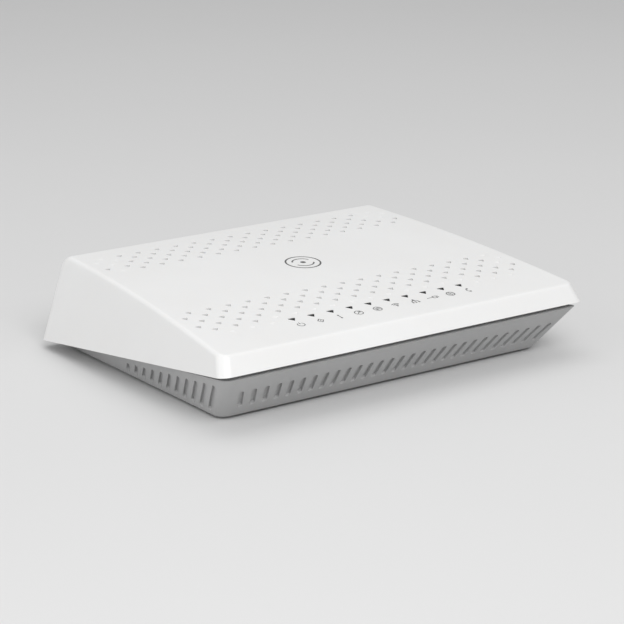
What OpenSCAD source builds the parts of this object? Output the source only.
// Desktop cable gateway: a white wedge-shaped cover on a shallow grey tray, with its board,
// sockets, switch and buttons. The origin is the middle of the footprint on the table, +X is
// right, +Y is the socket side and +Z is up. Sizes are millimetres.

/* [Case] */
// Width across the cover's rim
case_w = 255.6; // [252:0.2:258]
// Depth across the cover's rim
case_d = 201.4; // [200:0.2:203]
// Thickness of the cover's walls
cover_t = 2.2; // [1.8:0.1:2.6]
// Height of the rubber feet below the tray
foot_h = 1.6; // [1.2:0.2:2.4]
// Radius of the case's upright corners
corner_r = 6.7; // [5.5:0.1:8]
// Radius of the cover's top edges
edge_r = 3; // [1.5:0.1:3.4]
// Radius of the cover's upper back edge
back_r = 7.7; // [6.5:0.1:9]

/* [Vents] */
// Distance between neighbouring vents in a row
vent_pitch = 13.15; // [12.8:0.05:13.4]
// Distance between rows of vents
row_pitch = 6.7; // [6.2:0.05:7]
// Width of a triangular vent
vent_w = 4.5; // [3.5:0.1:5]
// Depth of a triangular vent, from its flat side to its point
vent_d = 3.4; // [3:0.1:4]
// Width of an indicator window
window_w = 5.6; // [4.6:0.1:6]
// Width of the recesses in the tray's walls
slot_w = 3.3; // [2.4:0.1:3.8]
// Depth of the recesses in the tray's walls
slot_depth = 1.5; // [0.8:0.1:1.6]

/* [Controls] */
// Swing of the power rocker from off to on, in degrees
rocker_swing = 20; // [16:1:24]

/* [Hidden] */
$fn = 48;
far = 400;
cut = 1;
gap = 0.3;

// Levels. The parting plane between cover and tray falls from front to back.
base_z = foot_h;
rim_front = base_z + 31.7;
rim_back = base_z + 3.26;
rim_mid = (rim_front + rim_back) / 2;
rim_slope = (rim_front - rim_back) / case_d;
rim_angle = atan(rim_slope);

// The cover's walls lean inwards and its top is a very shallow arc that rises to the back.
side_draft = 0.276;
side_taper = 0.049;
front_lean = 0.5975;
back_lean = 0.1437;
crown_r = 1567;
front_top_z = base_z + 41.9;
back_top_z = base_z + 55.3;

function rim_z(y) = rim_mid - rim_slope * y;
function half_x(y, z) = case_w / 2 - side_taper * (y + case_d / 2) - side_draft * (z - rim_front);
function front_y(z) = -case_d / 2 + front_lean * (z - rim_front);
function back_y(z) = case_d / 2 - back_lean * (z - rim_back);
crease_front = [front_y(front_top_z), front_top_z];
crease_back = [back_y(back_top_z), back_top_z];
chord = crease_back - crease_front;
crown_mid = (crease_front + crease_back) / 2;
crown_up = [-chord[1], chord[0]] / norm(chord);
crown_centre = crown_mid - crown_up * sqrt(pow(crown_r, 2) - pow(norm(chord) / 2, 2));
function top_z(y) = crown_centre[1] + sqrt(pow(crown_r, 2) - pow(y - crown_centre[0], 2));
function top_slope(y) = asin((crown_centre[0] - y) / crown_r);

// The tray's walls lean outwards from its floor.
tray_w = 226.3;
tray_front = 75.7;
tray_back = 91.2;
tray_t = 2.4;
floor_t = 2.2;
floor_z = base_z + floor_t;
tray_draft = 0.373;
front_splay = 0.8355;
neck_inset = 2.5;
neck_t = 1.5;
neck_lean = 1.2;
lip_drop = 2.4;
lip_top = 1.8;
flange_low = 0.3;
flange_t = 1.3;
flange_r = corner_r - 2;
flange_front = -case_d / 2 + cover_t + 2.2 + flange_r;
flange_back = case_d / 2 - cover_t - 1.4 - flange_r;
function tray_x(z) = tray_w / 2 + tray_draft * (z - base_z);
function tray_front_y(z) = -tray_front - front_splay * (z - base_z);
function tray_back_y(z) = tray_back + tray_draft * (z - base_z);

// Socket bay in the cover's back wall, and the panel that closes it.
bay_x = 104;
bay_top = 34.4;
bay_wall = 2;
panel_y = 84;
panel_t = 2;
panel_out = panel_y + panel_t;
panel_x = bay_x - 0.4;
panel_low = floor_z + 0.2;
panel_high = bay_top - 0.4;

// Main board
board_x = 98;
board_front = -71.5;
board_back = 83;
board_z = base_z + 9;
board_t = 1.6;
board_top = board_z + board_t;
board_holes = [[-90, -58], [90, -58], [-90, 62], [90, 30], [0, -40]];
board_boss_r = 3.3;
screw_r = 1.25;
case_screw_r = 1.5;
case_screws_at = [[-106, -62], [106, -62], [-106, 58], [106, 58]];
feet_at = [[-97, -48], [97, -48], [-97, 74], [97, 74]];
foot_r = 7;
foot_seat = 0.8;
keyholes_at = [[-60, 52], [60, 52]];

// Places of what sits along the back edge
switch_x = -91;
inlet_x = -73;
reset_x = -60;
pairing_x = -50;
phone_x = -27;
usb_x = 1;
ethernet_x = 43;
coax_x = 88;
rocker_z = board_top + 8;
inlet_z = board_top + 6.5;
button_z = board_top + 4.2;
coax_z = board_top + 8;

// ------------------------------------------------------------------ shared shapes

// Profile in the YZ plane drawn out along X, centred
module side_prism(points, w) {
    rotate([90, 0, 90]) linear_extrude(w, center = true) polygon(points);
}

// Box from two opposite corners
module block(low, high) {
    translate(low) cube(high - low);
}

// Cylinder along +Y that starts at y
module rod_y(x, y, z, r, l) {
    translate([x, y, z]) rotate([-90, 0, 0]) cylinder(r = r, h = l);
}

// Slot with round ends from a to b in the local XY plane
module round_slot(a, b, w, low, high) {
    d = b - a;
    translate([a[0], a[1], low]) rotate([0, 0, atan2(d[1], d[0])]) {
        cylinder(d = w, h = high - low);
        translate([norm(d), 0, 0]) cylinder(d = w, h = high - low);
        translate([0, -w / 2, 0]) cube([norm(d), w, high - low]);
    }
}

// Rectangle with round corners as a plate
module round_plate(half_w, y0, y1, r, h) {
    linear_extrude(h) {
        translate([-half_w + r, y0]) square([2 * (half_w - r), y1 - y0]);
        translate([-half_w, y0 + r]) square([2 * half_w, y1 - y0 - 2 * r]);
        for (x = [-1, 1], y = [y0 + r, y1 - r]) translate([x * (half_w - r), y]) circle(r);
    }
}

// Everything above the parting plane, lifted by the given amount
module above_rim(lift) {
    translate([0, 0, rim_mid + lift]) rotate([-rim_angle, 0, 0])
        translate([-far / 2, -far / 2, 0]) cube([far, far, far / 4]);
}

// Everything below the parting plane, lifted by the given amount
module below_rim(lift) {
    translate([0, 0, rim_mid + lift]) rotate([-rim_angle, 0, 0])
        translate([-far / 2, -far / 2, -far / 4]) cube([far, far, far / 4]);
}

module ring_disc(major, minor) {
    rotate_extrude($fn = 32) translate([major, 0]) circle(minor, $fn = 32);
}

// ------------------------------------------------------------------ cover

// The cover's solid outline, moved inwards by inset and open-ended below the rim
module cover_form(inset, edge, corner, back) {
    low = 8;
    side_k = 1 / cos(atan(side_draft));
    front_k = 1 / cos(atan(front_lean));
    back_k = 1 / cos(atan(back_lean));
    front_low = rim_front - low;
    back_low = rim_back - low;
    front_low_y = front_y(front_low) + inset * front_k + corner;
    back_low_y = back_y(back_low) - inset * back_k - corner;
    top_y = front_y(front_top_z - edge) + (inset + edge) * front_k + corner - edge;
    top_zc = top_z(top_y) - inset - edge;
    back_zc = top_z(crease_back[0] - back) - inset - back;
    back_yc = back_y(back_zc) - (inset + back) * back_k;
    stations = 18;
    hull() for (side = [0, 1]) mirror([side, 0, 0]) {
        translate([half_x(front_low_y, front_low) - inset * side_k - corner, front_low_y, front_low])
            cylinder(r = corner, h = 0.01, $fn = 48);
        translate([half_x(back_low_y, back_low) - inset * side_k - corner, back_low_y, back_low])
            cylinder(r = corner, h = 0.01, $fn = 48);
        translate([half_x(top_y, top_zc) - (inset + edge) * side_k - corner + edge, top_y, top_zc])
            rotate([top_slope(top_y), 0, 0]) ring_disc(corner - edge, edge);
        for (i = [0:stations]) {
            y = top_y + (back_yc - top_y) * i / stations;
            z = top_z(y) - inset - edge;
            translate([half_x(y, z) - (inset + edge) * side_k, y, z]) sphere(edge, $fn = 32);
        }
        translate([half_x(back_yc, back_zc) - (inset + edge) * side_k, back_yc, back_zc])
            rotate([0, 90 - atan(side_draft), 0]) ring_disc(back - edge, edge);
    }
}

// Triangle with round corners that points to the front
function vent_outline(w, d, r = 0.45, steps = 3) =
    let (base_angle = atan2(d, w / 2), tip_angle = 180 - 2 * base_angle,
        inner_x = w / 2 - r / tan(base_angle / 2), inner_y = d / 2 - r,
        tip_y = -d / 2 + r / sin(tip_angle / 2), side_a = base_angle - 90)
    [for (c = [[inner_x, inner_y, side_a, 90], [-inner_x, inner_y, 90, 180 - side_a],
        [0, tip_y, 180 - side_a, 360 + side_a]])
        for (i = [0:steps]) let (a = c[2] + (c[3] - c[2]) * i / steps)
            [c[0] + r * cos(a), c[1] + r * sin(a)]];

// Vent places, as [x, y] lists. Rows count back from each field's reference row, and every
// second row is moved sideways by half a pitch.
vents_x = -0.8;
front_field_y = -35.3;
back_field_y = 71.3;
led_row = 5;
led_count = 10;
function front_at(u, row) = [vents_x + (u - 8) * vent_pitch, front_field_y - row * row_pitch];
function back_at(u, row) = [vents_x + (u - 6.5) * vent_pitch, back_field_y - row * row_pitch];
open_vents = concat(
    [for (u = [0:15]) front_at(u, 0)],
    [for (u = [-0.5:15.5]) front_at(u, 1)],
    [for (u = [0:15]) front_at(u, 2)],
    [for (u = [-0.5:16.5]) front_at(u, 3)],
    [for (u = [0, 1, 2, 14, 15, 16]) front_at(u, 4)],
    [for (u = [0:13]) back_at(u, 0)],
    [for (u = [0.5:12.5]) back_at(u, 1)],
    [for (u = [0:13]) back_at(u, 2)],
    [for (u = [-1.5:14.5]) back_at(u, 3)],
    [for (u = [0:14]) back_at(u, 4)]);
blind_vents = concat(
    [front_at(16, 0), front_at(16.5, 1), front_at(16, 2)],
    [for (u = [3:13]) front_at(u, 4)],
    [for (u = [0.5, 1.5, 2.5, 13.5, 14.5, 15.5]) front_at(u, led_row)],
    [for (u = [-1, 14]) back_at(u, 0)],
    [for (u = [-1.5, -0.5, 13.5, 14.5]) back_at(u, 1)],
    [for (u = [-1, 14]) back_at(u, 2)],
    [back_at(-1, 4)]);
led_places = [for (i = [0:led_count - 1]) front_at(3.5 + i, led_row)];
led_y = led_places[0][1];
window_d = window_w * vent_d / vent_w;
blind_tilt = 12;

module vent_prisms(places, w, d, below, above) {
    for (p = places) translate([p[0], p[1], top_z(p[1]) - below])
        linear_extrude(below + above) polygon(vent_outline(w, d));
}

// Blind vents are shallow dents whose floors fall from the surface towards the front
module vent_dents() {
    for (p = blind_vents) let (y = p[1] + vent_d / 2)
        translate([p[0], y, top_z(y)]) rotate([top_slope(y) + blind_tilt, 0, 0])
            translate([0, -vent_d / 2, 0]) linear_extrude(2) polygon(vent_outline(vent_w, vent_d));
}

// Walls of the socket bay, with the ledge that the panel rests against
module bay_walls() {
    ledge = 2.5;
    intersection() {
        cover_form(1.1, 0.7, corner_r - 1.1, back_r - 1.1);
        above_rim(flange_low + flange_t + gap);
        union() {
            difference() {
                block([-bay_x - bay_wall, panel_y - 2, base_z], [bay_x + bay_wall, far, bay_top + bay_wall]);
                block([-bay_x, panel_y - 3, 0], [bay_x, far + cut, bay_top]);
            }
            difference() {
                block([-bay_x - cut, panel_y - 2, base_z], [bay_x + cut, panel_y - 0.2, bay_top + cut]);
                block([-bay_x + ledge, 0, 0], [bay_x - ledge, far, bay_top - ledge]);
            }
        }
    }
}

cover_tower_low = base_z + 12.2;
guide_post_r = 1.6;
guide_carrier_top = base_z + 39.2;
guide_posts_at = [[-66, led_y + 6.6], [66, led_y + 6.6]];

module top_cover() {
    color([0.93, 0.93, 0.92]) difference() {
        union() {
            difference() {
                intersection() {
                    cover_form(0, edge_r, corner_r, back_r);
                    above_rim(0);
                }
                cover_form(cover_t, 0.9, corner_r - cover_t, back_r - cover_t);
                block([-bay_x, panel_y, 0], [bay_x, far, bay_top]);
            }
            bay_walls();
            for (p = case_screws_at) translate([p[0], p[1], cover_tower_low])
                cylinder(r = 3.8, h = top_z(p[1]) - 1.6 - cover_tower_low);
            for (p = guide_posts_at) translate([p[0], p[1], guide_carrier_top])
                cylinder(r = guide_post_r, h = top_z(p[1]) - 1.2 - guide_carrier_top);
        }
        vent_prisms(open_vents, vent_w, vent_d, 6, 2);
        vent_prisms(led_places, window_w, window_d, 6, 2);
        vent_dents();
        for (p = case_screws_at) translate([p[0], p[1], cover_tower_low - cut])
            cylinder(r = case_screw_r + 0.05, h = 16);
    }
}

// Ten columns that carry light from the board to the windows, on one carrier bar
module light_guide() {
    fit = 0.12;
    window_top = [led_y, top_z(led_y) - 0.12];
    run = 20 * [cos(top_slope(led_y)), sin(top_slope(led_y))];
    color([0.05, 0.05, 0.06]) {
        intersection() {
            for (p = led_places) translate([p[0], p[1], board_top + 1.5])
                linear_extrude(50) polygon(vent_outline(window_w - 2 * fit, window_d - 2 * fit));
            side_prism([window_top - run, window_top - [10, 60], window_top + [10, -60],
                window_top + run], far);
        }
        difference() {
            block([-70, led_y - 3, guide_carrier_top - 1.8], [70, led_y + 9, guide_carrier_top]);
            block([-60.5, led_y + 3, guide_carrier_top - 5], [60.5, led_y + 10, guide_carrier_top + cut]);
        }
    }
}

// ------------------------------------------------------------------ tray

// One disc of the tray's outline. It lies in a plane parallel to the parting plane.
module rim_disc(x, y, lift, r) {
    translate([x, y, rim_z(y) + lift]) rotate([-rim_angle, 0, 0]) cylinder(r = r, h = 0.01);
}

side_in = 1 / cos(atan(tray_draft));
front_in = 1 / cos(atan(front_splay));
// Height at which the tray's front or back wall meets a plane parallel to the parting plane
function front_meet(lift) =
    (rim_mid + lift + rim_slope * (tray_front - front_splay * base_z)) / (1 - rim_slope * front_splay);
function back_meet(lift) =
    (rim_mid + lift - rim_slope * (tray_back - tray_draft * base_z)) / (1 + rim_slope * tray_draft);

// Four discs at the corners of the tray's outline where it meets a plane parallel to the
// parting plane, raised straight up by rise
module tray_ring(inset, lift, rise = 0) {
    r = corner_r - inset * 0.6;
    yf = tray_front_y(front_meet(lift)) + inset * front_in + r;
    yb = tray_back_y(back_meet(lift)) - inset * side_in - r;
    for (side = [-1, 1]) {
        rim_disc(side * (tray_x(rim_z(yf) + lift) - inset * side_in - r), yf, lift + rise, r);
        rim_disc(side * (tray_x(rim_z(yb) + lift) - inset * side_in - r), yb, lift + rise, r);
    }
}

// Four discs at the corners of the tray's outline at a level
module tray_foot(inset, z) {
    r = corner_r - inset * 0.6;
    for (x = [-1, 1]) {
        translate([x * (tray_x(z) - inset * side_in - r), tray_front_y(z) + inset * front_in + r, z])
            cylinder(r = r, h = 0.01);
        translate([x * (tray_x(z) - inset * side_in - r), tray_back_y(z) - inset * side_in - r, z])
            cylinder(r = r, h = 0.01);
    }
}

module tray_outside() {
    hull() {
        tray_foot(0.6, base_z);
        tray_foot(0, base_z + 0.6);
        tray_ring(0, -lip_drop);
        tray_ring(neck_inset, -lip_top);
    }
}

// Neck that stands up from the lip into the cover and leans inwards like the cover's walls
neck_rise = flange_low + flange_t + lip_top;
module tray_neck() {
    hull() {
        tray_ring(neck_inset, -lip_drop - 0.5);
        tray_ring(neck_inset + neck_lean, -lip_top, neck_rise);
    }
}

// The hollow inside the neck, and the wider one below it that leaves an even wall
module tray_hollow() {
    hull() {
        tray_foot(neck_inset + neck_t, floor_z);
        tray_ring(neck_inset + neck_t, -lip_top);
        tray_ring(neck_inset + neck_t + 2 * neck_lean, -lip_top, 2 * neck_rise);
    }
    intersection() {
        hull() {
            tray_foot(tray_t, floor_z);
            tray_ring(tray_t, 2);
        }
        below_rim(-5.5);
    }
}

// Recesses of the front wall fan out towards the corners
slot_half_count = 14;
slot_step = 1.515;
slot_fan_r = 270;
slot_turn = 1.32;
slot_low = 8.6 + slot_w / 2;
slot_high = 24.8 - slot_w / 2;
module front_slots() {
    translate([0, -tray_front, base_z]) rotate([180 - atan(1 / front_splay), 0, 0])
        for (i = [-slot_half_count:slot_half_count]) {
            x = slot_fan_r * tan(i * slot_step);
            lean = tan(i * slot_turn);
            round_slot([x, slot_low], [x + (slot_high - slot_low) * lean, slot_high], slot_w,
                -slot_depth, 1.5);
        }
}

// Recesses of the side walls lean like the front corner and stop a fixed way below the rim
side_slot_count = 11;
side_slot_first = -68.3;
side_slot_pitch = 8.54;
side_slot_z = 2.6 + slot_w / 2;
side_slot_clear = 6.6;
module side_slots() {
    wall_angle = atan(tray_draft);
    for (side = [0, 1]) mirror([side, 0, 0])
        translate([tray_x(base_z), 0, base_z]) rotate([0, 90 + wall_angle, 0])
            for (k = [0:side_slot_count - 1]) {
                y = side_slot_first + k * side_slot_pitch;
                low = side_slot_z;
                high = (rim_z(y) - base_z - side_slot_clear - slot_w / 2 - rim_slope * front_splay * low)
                    / (1 - rim_slope * front_splay);
                round_slot([-low * side_in, y], [-high * side_in, y - front_splay * (high - low)],
                    slot_w, -slot_depth, 1.5);
            }
}

module floor_vents() {
    for (x = [-1, 1], row = [0:8])
        round_slot([x * 30, -38 + row * 9], [x * 76, -38 + row * 9], 3, base_z - cut, floor_z + cut);
    for (p = keyholes_at) {
        translate([p[0], p[1], base_z - cut]) cylinder(r = 4.2, h = floor_t + 2 * cut);
        round_slot(p, p + [0, 9], 4.4, base_z - cut, floor_z + cut);
    }
}

case_boss_high = cover_tower_low - 0.1;
module bottom_case() {
    rib_x = 100;
    color([0.72, 0.73, 0.74]) difference() {
        union() {
            difference() {
                union() {
                    tray_outside();
                    tray_neck();
                    // Flange that closes the gap behind the cover's rim
                    hull() for (side = [-1, 1], y = [flange_front, flange_back], up = [0, flange_t])
                        rim_disc(side * (half_x(y, rim_z(y)) - cover_t - 1.3 - flange_r), y, flange_low + up,
                            flange_r);
                }
                tray_hollow();
                // The flange is open at the socket bay
                block([-bay_x - bay_wall - 0.4, 80, rim_z(80) - 2.5], [bay_x + bay_wall + 0.4, far, 30]);
            }
            for (p = board_holes) translate([p[0], p[1], floor_z - 0.5])
                cylinder(r = board_boss_r, h = board_z - floor_z + 0.5);
            for (p = case_screws_at) translate([p[0], p[1], floor_z - 0.5])
                cylinder(r = 4.6, h = case_boss_high - floor_z + 0.5);
            for (y = [panel_y - 1.8, panel_out + 0.2])
                block([-rib_x, y, floor_z - 0.5], [rib_x, y + 1.6, floor_z + 2]);
        }
        front_slots();
        side_slots();
        floor_vents();
        for (p = board_holes) translate([p[0], p[1], floor_z + 0.2]) cylinder(r = screw_r + 0.05, h = 20);
        for (p = case_screws_at) {
            translate([p[0], p[1], base_z - cut]) cylinder(r = 3.4, h = 4 + cut);
            translate([p[0], p[1], base_z]) cylinder(r = case_screw_r + 0.25, h = 30);
        }
        for (p = feet_at) translate([p[0], p[1], base_z - cut]) cylinder(r = foot_r + 0.15, h = cut + foot_seat);
    }
}

module rubber_feet() {
    color([0.12, 0.12, 0.12]) for (p = feet_at) translate([p[0], p[1], 0]) {
        cylinder(r1 = foot_r - 0.8, r2 = foot_r, h = 0.8);
        translate([0, 0, 0.8]) cylinder(r = foot_r, h = foot_h + foot_seat - 0.8);
    }
}

module cross_recess(w, depth) {
    for (a = [0, 90]) rotate([0, 0, a]) translate([-w / 2, -0.35, -cut]) cube([w, 0.7, depth + cut]);
}

module case_screws() {
    head_h = 2.2;
    seat = base_z + 4;
    color([0.55, 0.56, 0.58]) for (p = case_screws_at) translate([p[0], p[1], seat]) difference() {
        union() {
            translate([0, 0, -head_h]) cylinder(r = 2.9, h = head_h);
            cylinder(r = case_screw_r, h = 17);
        }
        translate([0, 0, -head_h]) cross_recess(3, 1.4);
    }
}

module rating_label() {
    color([0.9, 0.9, 0.9]) translate([0, 0, base_z - 0.15]) round_plate(24, -28, 28, 2, 0.15);
}

// ------------------------------------------------------------------ board and what it carries

pins_at = [[-19, 27], [19, -11]];
module main_board() {
    color([0.05, 0.32, 0.16]) difference() {
        translate([0, 0, board_z]) round_plate(board_x, board_front, board_back, 2, board_t);
        for (p = board_holes) translate([p[0], p[1], board_z - cut]) cylinder(r = 1.6, h = 4);
        for (p = pins_at) translate([p[0], p[1], board_z - cut]) cylinder(r = 1.55, h = 4);
    }
}

module board_screws() {
    color([0.75, 0.75, 0.72]) for (p = board_holes) translate([p[0], p[1], board_top]) difference() {
        union() {
            cylinder(r = 2.6, h = 1.8);
            translate([0, 0, -6.5]) cylinder(r = screw_r, h = 6.5);
        }
        translate([0, 0, 1.8]) mirror([0, 0, 1]) cross_recess(2.6, 1.1);
    }
}

module chip(x, y, w, d, h) {
    block([x - w / 2, y - d / 2, board_top], [x + w / 2, y + d / 2, board_top + h]);
}

module status_leds() {
    color([0.95, 0.95, 0.85]) for (p = led_places) chip(p[0], p[1], 3.2, 2.6, 1.2);
}

sink_y = 8;
chip_h = 2.2;
pad_h = 0.5;
sink_base = board_top + chip_h + pad_h;
module gateway_chip() {
    color([0.1, 0.1, 0.11]) {
        chip(0, sink_y, 27, 27, 0.8);
        block([-13, sink_y - 13, board_top + 0.8], [13, sink_y + 13, board_top + chip_h]);
    }
}

module heat_pad() {
    color([0.6, 0.65, 0.7]) block([-12, sink_y - 12, board_top + chip_h], [12, sink_y + 12, sink_base]);
}

module heat_sink() {
    w = 46;
    fins = 11;
    fin_t = 1.2;
    color([0.7, 0.71, 0.73]) difference() {
        union() {
            block([-w / 2, sink_y - w / 2, sink_base], [w / 2, sink_y + w / 2, sink_base + 3]);
            for (i = [0:fins - 1]) {
                x = -w / 2 + i * (w - fin_t) / (fins - 1);
                block([x, sink_y - w / 2, sink_base + 2], [x + fin_t, sink_y + w / 2, sink_base + 17]);
            }
        }
        for (p = pins_at) {
            translate([p[0], p[1], sink_base - cut]) cylinder(r = 1.55, h = 5);
            translate([p[0], p[1], sink_base + 3]) cylinder(r = 3.6, h = 20);
        }
    }
}

module heat_sink_pins() {
    color([0.9, 0.9, 0.88]) for (p = pins_at) translate([p[0], p[1], 0]) {
        translate([0, 0, board_z - 2.2]) cylinder(r1 = 0.8, r2 = 1.45, h = 2.2);
        translate([0, 0, board_z]) cylinder(r = 1.45, h = sink_base + 3 - board_z);
        translate([0, 0, sink_base + 3]) cylinder(r = 3, h = 1.5);
    }
}

module memory_chips() {
    color([0.1, 0.1, 0.11]) for (y = [-6, 14]) chip(38, y, 13, 9, 1.1);
}

module flash_chip() {
    color([0.1, 0.1, 0.11]) chip(-38, 0, 12, 18, 1.1);
}

module phone_chips() {
    color([0.1, 0.1, 0.11]) for (x = [-36, -20]) chip(x, 48, 8, 8, 0.9);
}

module line_magnetics() {
    color([0.08, 0.08, 0.08]) for (x = [28, 50]) chip(x, 56, 17, 15, 5.8);
}

module capacitors() {
    cans = [[-86, 40, 5, 12.5], [-73, 40, 5, 12.5], [-60, 48, 4, 11], [-50, 60, 3.15, 8], [-84, -8, 4, 9]];
    color([0.15, 0.18, 0.3]) for (c = cans) translate([c[0], c[1], board_top]) {
        cylinder(r = c[2], h = 1.2);
        translate([0, 0, 1.2]) cylinder(r = c[2] - 0.25, h = 0.8);
        translate([0, 0, 2]) cylinder(r = c[2], h = c[3] - 2);
    }
}

module inductors() {
    color([0.3, 0.3, 0.32]) for (p = [[-84, 22], [-68, 22], [-66, 4]]) {
        chip(p[0], p[1], 10, 10, 1);
        translate([p[0], p[1], board_top + 1]) cylinder(r = 4.4, h = 2.4);
        block([p[0] - 5, p[1] - 5, board_top + 3.4], [p[0] + 5, p[1] + 5, board_top + 4.4]);
    }
}

module crystals() {
    color([0.8, 0.8, 0.78]) for (p = [[-20, -20], [64, 26]])
        round_slot([p[0] - 3, p[1]], [p[0] + 3, p[1]], 4.4, board_top, board_top + 3.4);
}

// Rows of small resistors and capacitors
module small_passives() {
    color([0.55, 0.45, 0.32]) {
        for (i = [0:9]) chip(led_places[i][0] + 5, -58, 1.2, 2, 0.5);
        for (i = [0:7], y = [-24, -27]) chip(26 + i * 3, y, 1.2, 2, 0.6);
        for (i = [0:5]) chip(-46 + i * 3, 24, 1.2, 2, 0.6);
        for (i = [0:6]) chip(24 + i * 5, 44, 2, 1.2, 0.6);
    }
}

module radio_shield() {
    color([0.78, 0.79, 0.8]) difference() {
        block([-92, -48, board_top], [-56, -18, board_top + 3.2]);
        block([-91.7, -47.7, board_top - cut], [-56.3, -18.3, board_top + 2.9]);
        for (x = [-86:6:-62], y = [-42:6:-24]) translate([x, y, board_top]) cylinder(r = 1, h = 6);
    }
}

// Three folded sheet-metal antennas on the board's edges
module stamped_antennas() {
    t = 0.4;
    color([0.82, 0.78, 0.6]) for (p = [[-94, 10, 90], [94, -20, -90], [60, -62, 0]])
        translate([p[0], p[1], board_top]) rotate([0, 0, p[2]]) {
            block([-12, -t / 2, 5], [12, t / 2, 9]);
            for (x = [-10, -4]) block([x, -t / 2, 0], [x + 1.6, t / 2, 5]);
            block([-12, t / 2, 8.6], [12, 4, 9]);
        }
}

tuner = [[62, 36], [97, 66]];
tuner_h = 6.5;
module tuner_frame() {
    t = 0.4;
    low = [tuner[0][0], tuner[0][1], board_top];
    high = [tuner[1][0], tuner[1][1], board_top + tuner_h];
    color([0.8, 0.81, 0.82]) {
        difference() {
            block(low, high);
            block(low + [t, t, -cut], high + [-t, -t, cut]);
        }
        block([80, low[1] + t, board_top + 0.6], [80 + t, high[1] - t, high[2]]);
    }
}

module tuner_lid() {
    t = 0.3;
    z = board_top + tuner_h;
    color([0.84, 0.85, 0.86]) difference() {
        block([tuner[0][0] - t, tuner[0][1] - t, z - 3], [tuner[1][0] + t, tuner[1][1] + t, z + t]);
        block([tuner[0][0], tuner[0][1], z - 5], [tuner[1][0], tuner[1][1], z]);
        for (x = [68:6:92], y = [42:6:60]) translate([x, y, z - cut]) cylinder(r = 1.1, h = 3);
    }
}

// ------------------------------------------------------------------ sockets

stud_r = 4.76;
stud_end = 95.8;
collar_end = panel_out + 0.2;
module coax_socket() {
    color([0.82, 0.82, 0.8]) difference() {
        union() {
            block([coax_x - 6, 72, board_top], [coax_x + 6, 82.4, coax_z + 6]);
            rod_y(coax_x, 82.4, coax_z, 6.2, collar_end - 82.4);
            rod_y(coax_x, collar_end, coax_z, stud_r, stud_end - collar_end);
        }
        rod_y(coax_x, 74, coax_z, 3.3, 30);
    }
}

module coax_insulator() {
    color([0.95, 0.95, 0.93]) difference() {
        rod_y(coax_x, 74, coax_z, 3.3, stud_end - 74.6);
        rod_y(coax_x, 73, coax_z, 0.9, 30);
    }
}

module coax_contact() {
    color([0.85, 0.7, 0.35]) difference() {
        rod_y(coax_x, 74, coax_z, 0.9, stud_end - 75.4);
        rod_y(coax_x, 80, coax_z, 0.45, 30);
    }
}

// Row of modular jacks. Each port is [x], open towards +Y, with its latch notch at the top.
module jack_block(ports, pitch, wall, high, port_w, port_h, port_z, latch_w) {
    mouth = panel_out + 0.3;
    depth = 12.6;
    back = 70;
    x0 = ports[0] - pitch / 2 - wall;
    x1 = ports[len(ports) - 1] + pitch / 2 + wall;
    difference() {
        block([x0, back, board_top], [x1, mouth, board_top + high]);
        for (x = ports) {
            block([x - port_w / 2, mouth - depth, port_z], [x + port_w / 2, far, port_z + port_h]);
            block([x - latch_w / 2, mouth - depth, port_z + cut], [x + latch_w / 2, far, port_z + port_h + 1.9]);
            block([x - latch_w / 4, mouth - 6, port_z + cut], [x + latch_w / 4, far, port_z + port_h + 3]);
        }
    }
}

// Contact wires of one port: each runs back along the port's floor and rises at a slant
module jack_wires(x, count, port_z) {
    pitch = 1.02;
    wire = 0.36;
    mouth = panel_out + 0.3;
    for (i = [0:count - 1]) translate([x + (i - (count - 1) / 2) * pitch - wire / 2, 0, port_z]) {
        translate([0, mouth - 4, 0]) cube([wire, 1.6, wire]);
        translate([0, mouth - 4, 0]) rotate([-24, 0, 0]) mirror([0, 1, 0]) translate([0, -0.1, 0])
            cube([wire, 8, wire]);
    }
}

ethernet_pitch = 13.9;
ethernet_ports = [for (i = [0:3]) ethernet_x + (i - 1.5) * ethernet_pitch];
ethernet_port_z = board_top + 2.2;
module ethernet_jacks() {
    color([0.13, 0.13, 0.14])
        jack_block(ethernet_ports, ethernet_pitch, 0.4, 13.4, 11.9, 7.2, ethernet_port_z, 6.2);
}

module ethernet_contacts() {
    color([0.88, 0.72, 0.3]) for (x = ethernet_ports) jack_wires(x, 8, ethernet_port_z);
}

phone_pitch = 13.4;
phone_ports = [for (i = [0:1]) phone_x + (i - 0.5) * phone_pitch];
phone_port_z = board_top + 2.4;
module phone_jacks() {
    color([0.35, 0.36, 0.37])
        jack_block(phone_ports, phone_pitch, 0.4, 12.6, 9.9, 6.4, phone_port_z, 5.6);
}

module phone_contacts() {
    color([0.88, 0.72, 0.3]) for (x = phone_ports) jack_wires(x, 4, phone_port_z);
}

usb_low = board_top + 0.2;
usb_h = 6.7;
usb_w = 14.2;
module usb_shell() {
    t = 0.4;
    mouth = panel_out + 0.3;
    color([0.8, 0.81, 0.82]) {
        difference() {
            block([usb_x - usb_w / 2, 72, usb_low], [usb_x + usb_w / 2, mouth, usb_low + usb_h]);
            block([usb_x - usb_w / 2 + t, 72 + t, usb_low + t],
                [usb_x + usb_w / 2 - t, far, usb_low + usb_h - t]);
            for (x = [-3, 3]) block([usb_x + x - 1, 76, usb_low + 3], [usb_x + x + 1, 81, usb_low + usb_h + cut]);
        }
        for (x = [-usb_w / 2 + 1, usb_w / 2 - 2]) block([usb_x + x, 74, board_top], [usb_x + x + 1, 77, usb_low]);
    }
}

module usb_tongue() {
    t = 0.4;
    color([0.93, 0.93, 0.9]) {
        block([usb_x - 5.8, 75, usb_low + 3.9], [usb_x + 5.8, panel_out - 1, usb_low + 5.5]);
        block([usb_x - usb_w / 2 + t, 72 + t, usb_low + t], [usb_x + usb_w / 2 - t, 75, usb_low + usb_h - t]);
    }
}

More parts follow.
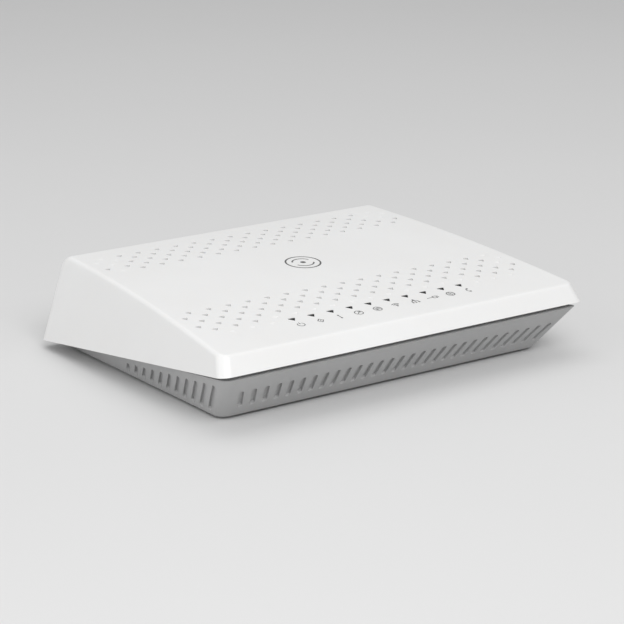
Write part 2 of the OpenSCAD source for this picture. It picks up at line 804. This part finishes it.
inlet_mouth = panel_out + 0.2;
inlet_floor = inlet_mouth - 9.5;
inlet_root_r = 1.4;
module power_inlet() {
    color([0.08, 0.08, 0.09]) difference() {
        union() {
            block([inlet_x - 4.5, 72, board_top], [inlet_x + 4.5, 83.6, board_top + 11]);
            rod_y(inlet_x, 83.6, inlet_z, 4.4, inlet_mouth - 83.6);
        }
        rod_y(inlet_x, inlet_floor, inlet_z, 2.95, 20);
        rod_y(inlet_x, 74, inlet_z, inlet_root_r, 4);
    }
}

module inlet_pin() {
    color([0.85, 0.85, 0.83]) {
        rod_y(inlet_x, 74, inlet_z, inlet_root_r, inlet_floor - 74);
        rod_y(inlet_x, inlet_floor, inlet_z, 1, inlet_mouth - 0.8 - inlet_floor);
    }
}

// ------------------------------------------------------------------ switch and buttons

pivot_y = panel_out - 1;
bezel_out = panel_out + 1.8;
rocker_r = 5.9;
rocker_h = 7;
axle_r = 0.9;
module switch_body() {
    color([0.09, 0.09, 0.1]) difference() {
        union() {
            block([switch_x - 7.6, panel_out, rocker_z - 5.4], [switch_x + 7.6, bezel_out, rocker_z + 5.4]);
            block([switch_x - 6.9, 74, rocker_z - 4.7], [switch_x + 6.9, panel_out, rocker_z + 4.7]);
            for (x = [-4, 4]) block([switch_x + x - 0.6, 76, board_top], [switch_x + x + 0.6, 79, rocker_z - 4.7]);
        }
        translate([switch_x, pivot_y, rocker_z - rocker_h / 2 - gap])
            cylinder(r = rocker_r + gap, h = rocker_h + 2 * gap, $fn = 64);
        translate([switch_x, pivot_y, rocker_z - rocker_h / 2 - 1.1])
            cylinder(r = axle_r + 0.05, h = rocker_h + 2.2);
    }
}

// The rocker lies in its off position. It is bounded by a drum that turns in the body's bore.
module power_rocker() {
    profile = [[-5.9, 2.9], [-2.4, 1.9], [2.4, 1.9], [5.9, 2.9], [5.9, -0.8], [2, -3.4], [-2, -3.4],
        [-5.9, -0.8]];
    color([0.12, 0.12, 0.13]) translate([switch_x, pivot_y, rocker_z]) rotate([0, 0, -rocker_swing / 2]) {
        intersection() {
            translate([0, 0, -rocker_h / 2]) cylinder(r = rocker_r, h = rocker_h, $fn = 64);
            translate([0, 0, -rocker_h / 2]) linear_extrude(rocker_h) polygon(profile);
        }
        translate([0, 0, -rocker_h / 2 - 1]) cylinder(r = axle_r, h = rocker_h + 2);
    }
}

stem_r = 1.7;
tact_front = 80.5;
module tact_switches() {
    color([0.14, 0.14, 0.15]) for (x = [reset_x, pairing_x]) difference() {
        union() {
            block([x - 3.1, tact_front - 3.6, button_z - 3.1], [x + 3.1, tact_front, button_z + 3.1]);
            block([x - 3.6, tact_front - 3.2, board_top], [x - 2.8, tact_front - 1.6, button_z]);
            block([x + 2.8, tact_front - 3.2, board_top], [x + 3.6, tact_front - 1.6, button_z]);
        }
        rod_y(x, tact_front - 1.5, button_z, stem_r + 0.08, 5);
    }
}

module reset_plunger() {
    color([0.75, 0.2, 0.15]) rod_y(reset_x, tact_front - 1, button_z, stem_r, 3.6);
}

button_r = 3.4;
button_back = 83;
module pairing_stem() {
    color([0.1, 0.1, 0.1]) rod_y(pairing_x, tact_front - 1, button_z, stem_r, button_back - tact_front + 1);
}

module pairing_button() {
    color([0.62, 0.63, 0.65]) {
        rod_y(pairing_x, button_back, button_z, button_r + 0.8, 0.7);
        rod_y(pairing_x, button_back + 0.7, button_z, button_r, panel_out + 0.6 - button_back - 0.7);
        translate([pairing_x, panel_out + 0.6, button_z]) rotate([-90, 0, 0])
            cylinder(r1 = button_r, r2 = button_r - 0.5, h = 0.5);
    }
}

module rear_panel() {
    color([0.3, 0.31, 0.32]) difference() {
        block([-panel_x, panel_y, panel_low], [panel_x, panel_out, panel_high]);
        block([switch_x - 7.1, 0, rocker_z - 4.9], [switch_x + 7.1, far, rocker_z + 4.9]);
        rod_y(inlet_x, 0, inlet_z, 4.7, far);
        rod_y(reset_x, 0, button_z, 1.3, far);
        rod_y(pairing_x, 0, button_z, button_r + 0.25, far);
        block([phone_ports[0] - phone_pitch / 2 - 0.7, 0, board_top - 0.2],
            [phone_ports[1] + phone_pitch / 2 + 0.7, far, board_top + 12.9]);
        block([usb_x - usb_w / 2 - 0.3, 0, usb_low - 0.3], [usb_x + usb_w / 2 + 0.3, far, usb_low + usb_h + 0.3]);
        block([ethernet_ports[0] - ethernet_pitch / 2 - 0.7, 0, board_top - 0.2],
            [ethernet_ports[3] + ethernet_pitch / 2 + 0.7, far, board_top + 13.7]);
        rod_y(coax_x, 0, coax_z, 6.4, far);
    }
}

top_cover();
bottom_case();
rear_panel();
light_guide();
rubber_feet();
case_screws();
rating_label();
main_board();
board_screws();
status_leds();
gateway_chip();
heat_pad();
heat_sink();
heat_sink_pins();
memory_chips();
flash_chip();
phone_chips();
line_magnetics();
capacitors();
inductors();
crystals();
small_passives();
radio_shield();
stamped_antennas();
tuner_frame();
tuner_lid();
coax_socket();
coax_insulator();
coax_contact();
ethernet_jacks();
ethernet_contacts();
phone_jacks();
phone_contacts();
usb_shell();
usb_tongue();
power_inlet();
inlet_pin();
switch_body();
power_rocker();
tact_switches();
reset_plunger();
pairing_button();
pairing_stem();
